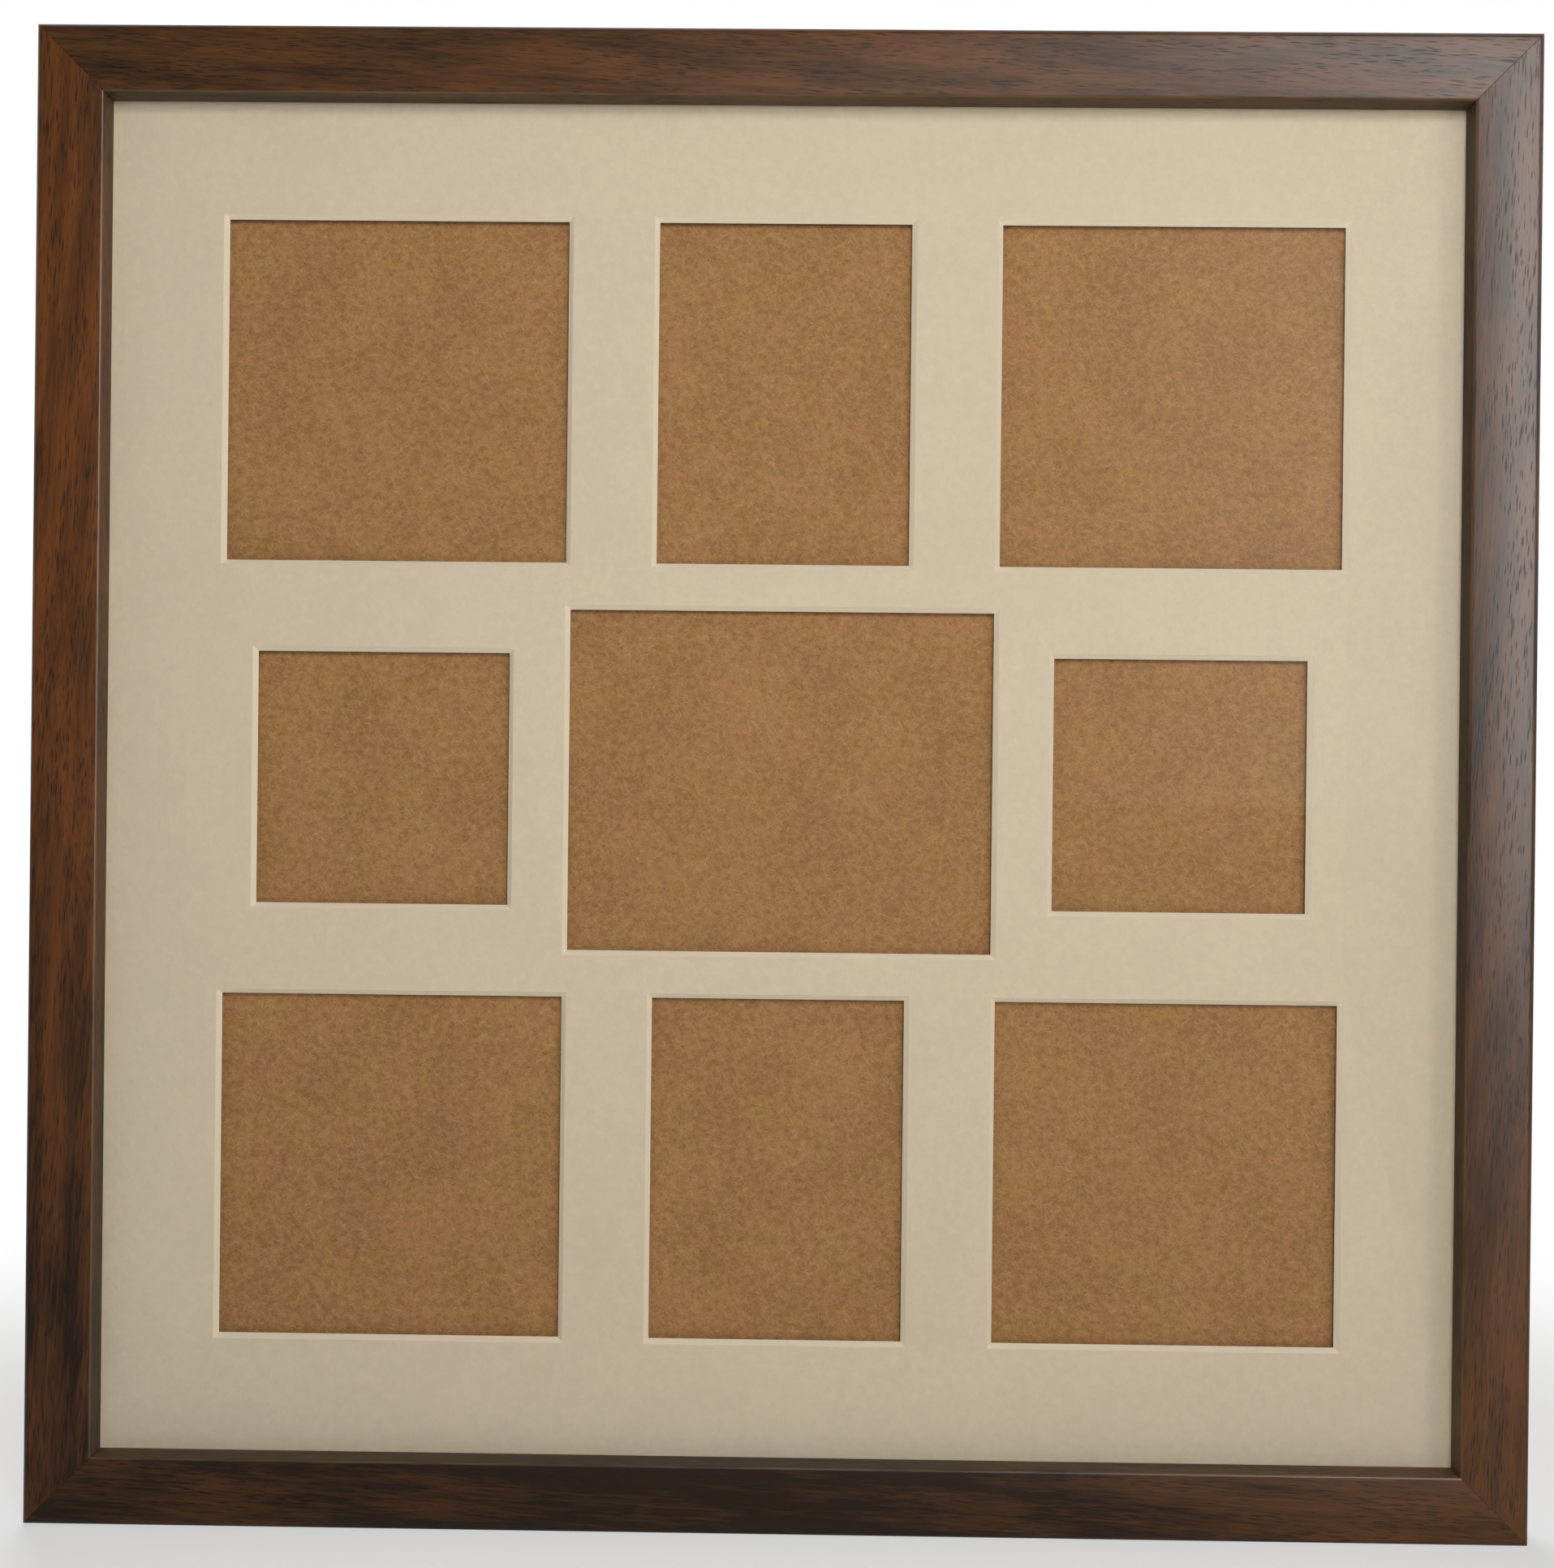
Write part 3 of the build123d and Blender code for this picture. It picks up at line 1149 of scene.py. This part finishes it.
@dataclass
class Sheets:
    """The glass, the window mount and the backing board.

    Attributes:
        ease: Round of the backing board's sawn edges.
        rim: Width of the rim that the mount bears on.
        slope: Width of the slope inside that rim.
        bow: How far the board bows back from the mount inside the slope.
        hold: Width of the strips beside the slope that keep the faces next to it flat.
        steps: Number of steps in the slope's curve.
    """

    ease: float = 0.3 * MM
    rim: float = 22.0 * MM
    slope: float = 14.0 * MM
    bow: float = 2.2 * MM
    hold: float = 1.0 * MM
    steps: int = 8

    def build(self) -> None:
        """Dresses the glass and the mount, and makes and dresses the backing board."""
        for node, finish in (("window_mount", MountBoard()), ("glass_pane", ClearGlass())):
            frame["nodes"][node].material_slots[0].material = finish.material()
            LOG.info("%s is dressed as it stands", node)
        board = Bench.block("fibre_backing_board", *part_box("backing_board"))
        Bench.soften(board, self.ease, steps=2)
        shares = [step / self.steps for step in range(self.steps + 1)]
        sunk = [self.bow * share * share * (3 - 2 * share) for share in shares]
        for sign in (-1, 1):
            with Bench.editing(board):
                Bench.pick(Part.FACES, facing(sign))
                bpy.ops.mesh.inset(thickness=self.rim - self.hold)
                bpy.ops.mesh.inset(thickness=self.hold)
                for before, after in zip(sunk, sunk[1:]):
                    bpy.ops.mesh.inset(thickness=self.slope / self.steps, depth=(after - before) * sign)
                bpy.ops.mesh.inset(thickness=self.hold)
        Bench.smooth(board)
        Bench.seat(board, Fibreboard().material(), FRAME_BODY, "brown_fibreboard", "backing_board")


@dataclass
class Fastener:
    """A screw or a nail with a domed head.

    Attributes:
        head: Radius of the head.
        height: Height of the head.
        dome: How much of the head's rim is rounded.
        shank: Radius of the shank.
        length: Length of the shank below the back of the rails.
        point: Length of the point.
        recess: Span, width and depth of the cross in the head, or none.
        bit_tip: Width of the driver's bit at its tip, as a share of its full width.
        sides: Number of sides.
    """

    head: float
    height: float
    dome: float
    shank: float
    length: float
    point: float
    recess: Triple | None = None
    bit_tip: float = 0.6
    sides: int = 48

    def solid(self, name: str, seat: Vector, under: float) -> Piece:
        """Models the fastener.

        Args:
            name: The name of the piece.
            seat: Where its axis meets the back of the rails.
            under: Height of the underside of its head over the back of the rails.

        Returns:
            The fastener.
        """
        foot = seat + DEEP * under
        top = foot + DEEP * self.height
        piece = Bench.plug(name, (self.head, self.head), foot, self.height, self.sides)
        with Bench.editing(piece):
            Bench.pick(Part.EDGES, level(top.y))
            Bench.ease(self.dome, steps=8)
            Bench.pick(Part.FACES, facing(-1))
            bpy.ops.mesh.inset(thickness=self.head - self.shank)
            Bench.pull(DEEP * (self.point - self.length - under))
            Bench.pull(-DEEP * self.point)
            bpy.ops.mesh.merge(type="CENTER")
        if self.recess:
            self.cut_cross(piece, top)
        Bench.smooth(piece)
        return piece

    def cut_cross(self, piece: Piece, top: Vector) -> None:
        """Cuts the driver's cross into the head.

        Args:
            piece: The fastener.
            top: Middle of the top of its head.
        """
        span, width, depth = self.recess
        for across, upright in ((span, width), (width, span)):
            half = Vector((across / 2, depth, upright / 2))
            bit = Bench.block("driver_bit", top - half, top + half)
            with Bench.editing(bit):
                Bench.pick(Part.FACES, facing(-1))
                bpy.ops.transform.resize(value=(self.bit_tip, 1.0, self.bit_tip), center_override=top)
            Bench.combine(piece, bit, Merge.CUT)


BUTTON_SCREW = Fastener(
    head=2.9 * MM,
    height=1.6 * MM,
    dome=1.3 * MM,
    shank=1.5 * MM,
    length=11.0 * MM,
    point=2.5 * MM,
    recess=(3.0 * MM, 0.7 * MM, 0.9 * MM),
)
HANGER_NAIL = Fastener(
    head=1.7 * MM, height=0.8 * MM, dome=0.7 * MM, shank=0.7 * MM, length=10.0 * MM, point=0.7 * MM
)


@dataclass
class TurnButtons:
    """Eight plated turn buttons that hold the backing board in, and their screws.

    Attributes:
        layout: Where the frame stands.
        screw: The screw that each button turns on.
        head: Radius of the end on the screw.
        tip: Radius of the end on the backing board.
        reach: From the screw to the far edge of the tip.
        gauge: Thickness of the plate.
        gap: Room under the plate and under the screw's head.
        hole: Radius of the hole.
        edge: Round of the plate's edges.
        edge_steps: Number of steps in that round.
        grip: Length, width and height of the pressed grip.
        grip_top: Size of the grip's top as a share of its foot.
        sides: Number of points round the plate.
        driven: Turn from one screw's cross to the next, in degrees.
    """

    layout: Layout
    screw: Fastener
    head: float = 6.0 * MM
    tip: float = 4.2 * MM
    reach: float = 19.5 * MM
    gauge: float = 1.2 * MM
    gap: float = 0.1 * MM
    hole: float = 1.55 * MM
    edge: float = 0.25 * MM
    edge_steps: int = 3
    grip: Triple = (5.0 * MM, 2.4 * MM, 0.7 * MM)
    grip_top: float = 0.72
    sides: int = 96
    driven: float = 37.0

    def plate(self) -> Piece:
        """Models one button at the origin: its screw's axis is Y, and it points down.

        Returns:
            The button.
        """
        far = self.reach - self.tip
        flare = (self.head - self.tip) / far * self.head
        share = self.tip / self.head
        foot = DEEP * self.gap
        ring = {"vertices": self.sides, "location": foot, "rotation": (math.pi / 2, 0, 0)}
        piece = Bench.start("nickel_button", bpy.ops.mesh.primitive_circle_add, radius=self.head, **ring)
        with Bench.editing(piece):
            Bench.pick(Part.VERTS, lambda at, way: at.z < -flare)
            bpy.ops.transform.resize(value=(share, share, share), center_override=foot)
            bpy.ops.transform.translate(value=-UP * far)
            bpy.ops.mesh.primitive_circle_add(radius=self.hole, **ring)
            Bench.pick(Part.EDGES)
            bpy.ops.mesh.bridge_edge_loops()
            Bench.pick(Part.FACES)
            Bench.pull(DEEP * self.gauge)
        Bench.soften(piece, self.edge, self.edge_steps)
        Bench.combine(piece, self.pressed_grip(-far), Merge.JOIN)
        Bench.smooth(piece)
        return piece

    def pressed_grip(self, at: float) -> Piece:
        """Models the raised grip near the tip.

        Args:
            at: Height of its middle.

        Returns:
            The grip.
        """
        length, width, height = self.grip
        top = self.gap + self.gauge
        low = Vector((-length / 2, top - self.gauge / 2, at - width / 2))
        piece = Bench.block("grip", low, Vector((length / 2, top + height, at + width / 2)))
        with Bench.editing(piece):
            Bench.pick(Part.FACES, facing(1))
            bpy.ops.transform.resize(value=(self.grip_top, 1.0, self.grip_top), center_override=(0, top, at))
        Bench.soften(piece, self.edge, self.edge_steps)
        return piece

    def build(self) -> None:
        """Makes and dresses the eight buttons and their screws."""
        nickel = NICKEL.material()
        first = self.plate()
        for count, joint in enumerate(frame["joints"], 1):
            pivot = Vector(joint["pos_m"])
            body = joint["child"]
            place = Matrix.Translation(pivot)
            side = Side.nearest(pivot - self.layout.middle)
            button = Bench.copy(first, f"nickel_{body}", place @ side.turn())
            Bench.seat(button, nickel, body, "plated_steel", body)
            screw = self.screw.solid(f"button_screw_{count}", Vector(), 2 * self.gap + self.gauge)
            screw.data.transform(place @ Matrix.Rotation(math.radians(self.driven * count), 4, "Y"))
            Bench.seat(screw, nickel, FRAME_BODY, "plated_steel", "turn_button_screws")
        bpy.data.objects.remove(first)


@dataclass
class Hanger:
    """The sawtooth hanger on the back of the top rail, and its two nails.

    Attributes:
        layout: Where the frame stands.
        nail: The nail at each foot.
        gauge: Thickness of the strip.
        foot: Length of each foot.
        ramp: Length of each ramp.
        bend: Round of the bends.
        teeth: Number of notches.
        pitch: Distance between notches.
        flat: Width of the flat between two notches.
        edge: Round of the stamped edges.
        drill: How far under the strip the drill for the nail holes starts, and its length.
        drill_sides: Number of sides of the drill.
    """

    layout: Layout
    nail: Fastener
    gauge: float = 0.9 * MM
    foot: float = 9.0 * MM
    ramp: float = 3.0 * MM
    bend: float = 0.45 * MM
    teeth: int = 9
    pitch: float = 2.2 * MM
    flat: float = 0.3 * MM
    edge: float = 0.1 * MM
    drill: tuple[float, float] = (1.0 * MM, 3.0 * MM)
    drill_sides: int = 32

    def strip(self) -> Piece:
        """Models the strip: a plate folded up in the middle and notched along its lower edge.

        Returns:
            The strip.
        """
        low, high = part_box("sawtooth_hanger")
        folds = (high.x - self.foot, high.x - self.foot - self.ramp)
        rise = self.layout.wall - self.layout.back - self.gauge
        notches = [(index - (self.teeth - 1) / 2) * self.pitch for index in range(self.teeth)]
        reach = (self.pitch - self.flat) / 2
        cuts = [sign * fold for fold in folds for sign in (-1, 1)]
        cuts += [notch + step for notch in notches for step in (-reach, 0, reach)]
        piece = Bench.leaf("brass_hanger", low, Vector((high.x, low.y, high.z)))
        with Bench.editing(piece):
            for cut in cuts:
                Bench.cut(ACROSS * cut, ACROSS)
            Bench.pick(Part.VERTS, lambda at, way: abs(at.x) < folds[1] + TOUCH)
            bpy.ops.transform.translate(value=DEEP * rise)
            for notch in notches:
                Bench.pick(Part.VERTS, lambda at, way: abs(at.x - notch) < TOUCH and at.z < low.z + TOUCH)
                bpy.ops.transform.translate(value=-UP * low.z)
            Bench.pick(Part.FACES)
            Bench.pull(DEEP * self.gauge)
            Bench.pick(
                Part.EDGES,
                lambda at, way: abs(way.z) > SQUARE and min(abs(abs(at.x) - fold) for fold in folds) < TOUCH,
            )
            Bench.ease(self.bend, steps=4)
        return piece

    def build(self) -> None:
        """Makes and dresses the strip and its nails."""
        brass = BRASS.material()
        low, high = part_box("sawtooth_hanger")
        strip = self.strip()
        start, length = self.drill
        for name, along in (("left", self.foot / 2 - high.x), ("right", high.x - self.foot / 2)):
            seat = Vector((along, self.layout.back, (low.z + high.z) / 2))
            shank, foot = self.nail.shank, seat - DEEP * start
            drill = Bench.plug("drill", (shank, shank), foot, length, self.drill_sides)
            Bench.combine(strip, drill, Merge.CUT)
            nail = self.nail.solid(f"brass_nail_{name}", seat, self.gauge)
            Bench.seat(nail, brass, FRAME_BODY, "brassed_steel", "hanger_nails")
        Bench.soften(strip, self.edge, steps=2)
        Bench.smooth(strip)
        Bench.seat(strip, brass, FRAME_BODY, "brassed_steel", "sawtooth_hanger")


@dataclass
class WallBumpers:
    """Two rubber bumpers that keep the lower corners off the wall.

    Attributes:
        draft: Slope of the sides, in degrees.
        rim: Round of the rim.
        dish: Width of the border round the hollow at the wall, and its depth.
        sides: Number of sides.
    """

    draft: float = 12.0
    rim: float = 0.7 * MM
    dish: tuple[float, float] = (1.1 * MM, 0.3 * MM)
    sides: int = 64

    def build(self) -> None:
        """Makes and dresses the two bumpers."""
        rubber = Rubber().material()
        low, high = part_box("wall_bumpers")
        radius, height = (high.z - low.z) / 2, high.y - low.y
        top = radius - height * math.tan(math.radians(self.draft))
        middle = Vector((radius - high.x, low.y, (low.z + high.z) / 2))
        border, depth = self.dish
        left = Bench.plug("rubber_bumper_left", (radius, top), middle, height, self.sides)
        with Bench.editing(left):
            Bench.pick(Part.EDGES, level(high.y))
            Bench.ease(self.rim, steps=5)
            Bench.pick(Part.FACES, facing(1))
            bpy.ops.mesh.inset(thickness=border)
            bpy.ops.mesh.inset(thickness=depth, depth=-depth)
        Bench.smooth(left)
        right = Bench.copy(left, "rubber_bumper_right", Matrix.Translation((-2 * middle.x, 0, 0)))
        for bumper in (left, right):
            Bench.seat(bumper, rubber, FRAME_BODY, "bumper_rubber", "wall_bumpers")


class Role(Enum):
    """Whether a lamp lights matt surfaces, and whether gloss and glass show its reflection."""

    LIGHT = (True, False)
    SHEEN = (False, True)


@dataclass(frozen=True)
class Lamp:
    """A soft lamp.

    Attributes:
        name: The name of the lamp.
        offset: Its place from the middle of the picture, in metres.
        size: Its width and height.
        watts: Its power.
        role: What it is there for.
    """

    name: str
    offset: Triple
    size: tuple[float, float]
    watts: float
    role: Role

    def hang(self, target: Vector) -> None:
        """Hangs the lamp, facing the picture.

        Args:
            target: The middle of the picture.
        """
        place = target + Vector(self.offset)
        bpy.ops.object.select_all(action="DESELECT")
        bpy.ops.object.light_add(type="AREA", location=place)
        lamp = bpy.context.object
        lamp.name = self.name
        lamp.rotation_euler = (target - place).to_track_quat("-Z", "Y").to_euler()
        lamp.data.shape = "RECTANGLE"
        lamp.data.size, lamp.data.size_y = self.size
        lamp.data.energy = self.watts
        lamp.visible_diffuse, mirrored = self.role.value
        lamp.visible_glossy = lamp.visible_transmission = mirrored
        LOG.info("%s hangs at %s", self.name, tuple(round(value, 3) for value in place))


@dataclass(frozen=True)
class PhotoCamera:
    """The photograph's camera, fitted to the corners of the windows and of the frame.

    Attributes:
        offset: Its place from the middle of the picture, across and up.
        distance: Its distance from the wall.
        angles: Its yaw, pitch and roll, in degrees.
        focal_pixels: Its focal length, in pixels of the photograph.
        image_pixels: The longer side of the photograph.
        nearest: Distance from which it sees.
    """

    offset: tuple[float, float] = (5.6 * MM, 0.4 * MM)
    distance: float = 575 * MM
    angles: Triple = (0.66, -0.10, -0.62)
    focal_pixels: float = 2376.0
    image_pixels: int = 1932
    nearest: float = 20 * MM

    def stand(self, middle: Vector) -> None:
        """Stands the camera in front of the picture.

        Args:
            middle: The middle of the picture.
        """
        data = bpy.data.cameras.new("photo_camera")
        data.lens = self.focal_pixels * data.sensor_width / self.image_pixels
        data.clip_start = self.nearest
        camera = bpy.data.objects.new("photo_camera", data)
        bpy.context.scene.collection.objects.link(camera)
        place = Vector((middle.x + self.offset[0], -self.distance, middle.z + self.offset[1]))
        yaw, pitch, roll = (math.radians(angle) for angle in self.angles)
        camera.matrix_world = (
            Matrix.Translation(place)
            @ Matrix.Rotation(yaw, 4, "Z")
            @ Matrix.Rotation(pitch, 4, "X")
            @ Matrix.Rotation(roll, 4, "Y")
            @ Matrix.Rotation(math.pi / 2, 4, "X")
        )
        bpy.context.scene.camera = camera
        LOG.info("camera at %s, lens %.2f mm", tuple(round(value, 4) for value in place), data.lens)


@dataclass(frozen=True)
class Studio:
    """A pale floor, soft lamps and a white surround.

    Attributes:
        lamps: The lamps.
        ambient: Colour of the light from all round.
        room: Colour of the dim room in front of the picture, which gloss reflects.
        window: Colour of the brighter right side of that room.
        low: Colour that gloss reflects from low down behind the frame, under the white.
        white: Colour of the surround and of the floor far away.
        paper: Colour of the floor.
        speckle: Size of the floor's speckle, and how much it shows.
        rough: Roughness of the floor.
        gloss: Its specular level.
        paled: How white the floor is next to the frame.
        beside: How far to each side of the middle the frame reaches.
        near: Distance from the frame at which the floor begins to go white.
        far: Distance at which it is white.
        shadow: Distance in front of the wall from which gloss reflects the dim room, not the floor.
        width: Width of the floor.
    """

    lamps: tuple[Lamp, ...]
    ambient: Colour = (0.125, 0.125, 0.125, 1)
    room: Colour = (0.05, 0.05, 0.05, 1)
    window: Colour = (0.40, 0.40, 0.41, 1)
    low: Colour = (0.30, 0.30, 0.30, 1)
    white: Colour = (1.0, 1.0, 1.0, 1)
    paper: Colour = (0.92, 0.92, 0.92, 1)
    speckle: tuple[float, float] = (20 * MM, 0.05)
    rough: float = 0.9
    gloss: float = 0.1
    paled: float = 0.45
    beside: float = 0.22
    near: float = 0.04
    far: float = 0.40
    shadow: float = 30 * MM
    width: float = 40.0

    def lay_floor(self, low: Vector) -> None:
        """Lays the floor under the frame.

        Args:
            low: Lowest corner of the frame.
        """
        plane = bpy.ops.mesh.primitive_plane_add
        floor = Bench.start("floor", plane, size=self.width, location=(0, 0, low.z))
        made, canvas, surface, places = new_finish("pale floor")
        size, share = self.speckle
        speckle = canvas.times(canvas.noise(places["Object"], (size,) * 3, 2.0), share)
        shade = canvas.blend(speckle, self.paper, self.white)
        canvas.feed(surface, {"Base Color": shade, "Roughness": self.rough, "Specular IOR Level": self.gloss})
        across, deep, _ = canvas.parts(places["Object"])
        past = canvas.most(canvas.maths("SUBTRACT", canvas.maths("ABSOLUTE", across), self.beside), 0.0)
        ground = canvas.add("CombineXYZ", {0: past, 1: deep}).outputs[0]
        away = canvas.add("VectorMath", {0: ground}, operation="LENGTH").outputs["Value"]
        paling = canvas.span(away, self.near, self.far, (self.paled, 1.0))
        paling.node.interpolation_type = "SMOOTHERSTEP"
        rays = canvas.add("LightPath").outputs
        glow = canvas.add("Emission", {"Color": self.white, "Strength": 1.0})
        seen = canvas.mix(canvas.times(paling, rays["Is Camera Ray"]), surface, glow)
        dim = canvas.add("Emission", {"Color": self.room, "Strength": 1.0})
        gloss = canvas.most(rays["Is Glossy Ray"], rays["Is Transmission Ray"])
        mixed = canvas.mix(canvas.times(canvas.span(deep, 0.0, -self.shadow), gloss), seen, dim)
        canvas.feed(canvas.tree.nodes["Material Output"], {"Surface": mixed.outputs[0]})
        floor.data.materials.append(made)
        floor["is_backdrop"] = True

    def light_world(self) -> None:
        """Lights the surround: white where it is seen, dim in front where gloss would mirror the room."""
        world = bpy.data.worlds.new("white surround")
        bpy.context.scene.world = world
        world.use_nodes = True
        world.node_tree.nodes.clear()
        canvas = Canvas(world.node_tree)
        rays = canvas.add("LightPath").outputs
        across, deep, up = canvas.parts(canvas.add("TexCoord").outputs["Generated"])
        gloss = canvas.most(rays["Is Glossy Ray"], rays["Is Transmission Ray"])
        sunk = canvas.times(canvas.span(up, 0.45, -0.15), rays["Is Glossy Ray"])
        front = canvas.blend(canvas.span(across, 0.08, 0.36), self.room, self.window)
        dim = canvas.times(canvas.span(deep, 0.25, -0.25), gloss)
        colour = canvas.blend(dim, canvas.blend(sunk, self.white, self.low), front)
        shown = canvas.add("Background", {"Color": colour, "Strength": 1.0})
        lit = canvas.add("Background", {"Color": self.ambient, "Strength": 1.0})
        mixed = canvas.mix(canvas.most(rays["Is Camera Ray"], gloss), lit, shown)
        canvas.add("OutputWorld", {"Surface": mixed.outputs[0]})

    def build(self, middle: Vector) -> None:
        """Lays the floor, lights the world and hangs the lamps.

        Args:
            middle: The middle of the picture.
        """
        self.lay_floor(CAD_BOX[0])
        self.light_world()
        for lamp in self.lamps:
            lamp.hang(middle)
        bpy.context.scene.view_settings.view_transform = "Standard"


SOFT_LAMPS = (
    Lamp("key_softbox", (0.11, -0.72, 0.27), (0.30, 0.40), 3.7, Role.LIGHT),
    Lamp("side_window", (0.86, -0.95, 0.0), (0.18, 0.18), 1.2, Role.LIGHT),
    Lamp("sheen_window", (0.72, -1.0, 0.27), (0.32, 0.80), 5.6, Role.SHEEN),
    Lamp("sheen_skylight", (0.50, -1.0, 0.74), (0.40, 0.24), 1.6, Role.SHEEN),
    Lamp("back_softbox", (-0.45, 1.3, 0.75), (1.0, 0.8), 13.0, Role.LIGHT),
)


def write_sizes() -> None:
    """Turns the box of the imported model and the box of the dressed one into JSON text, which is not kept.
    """
    boxes = {"cad": CAD_BOX, "visual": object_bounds()}
    json.dumps({name: [list(low), list(high)] for name, (low, high) in boxes.items()})


def main() -> None:
    """Builds the pieces in order, then the camera and the studio."""
    logging.basicConfig(level=logging.INFO, format="%(name)s: %(message)s")
    layout = Layout.read()
    Moulding(layout, Elbow()).build()
    Sheets().build()
    TurnButtons(layout, BUTTON_SCREW).build()
    Hanger(layout, HANGER_NAIL).build()
    WallBumpers().build()
    PhotoCamera().stand(layout.middle)
    Studio(SOFT_LAMPS).build(layout.middle)
    write_sizes()


if __name__ == "__main__":
    main()
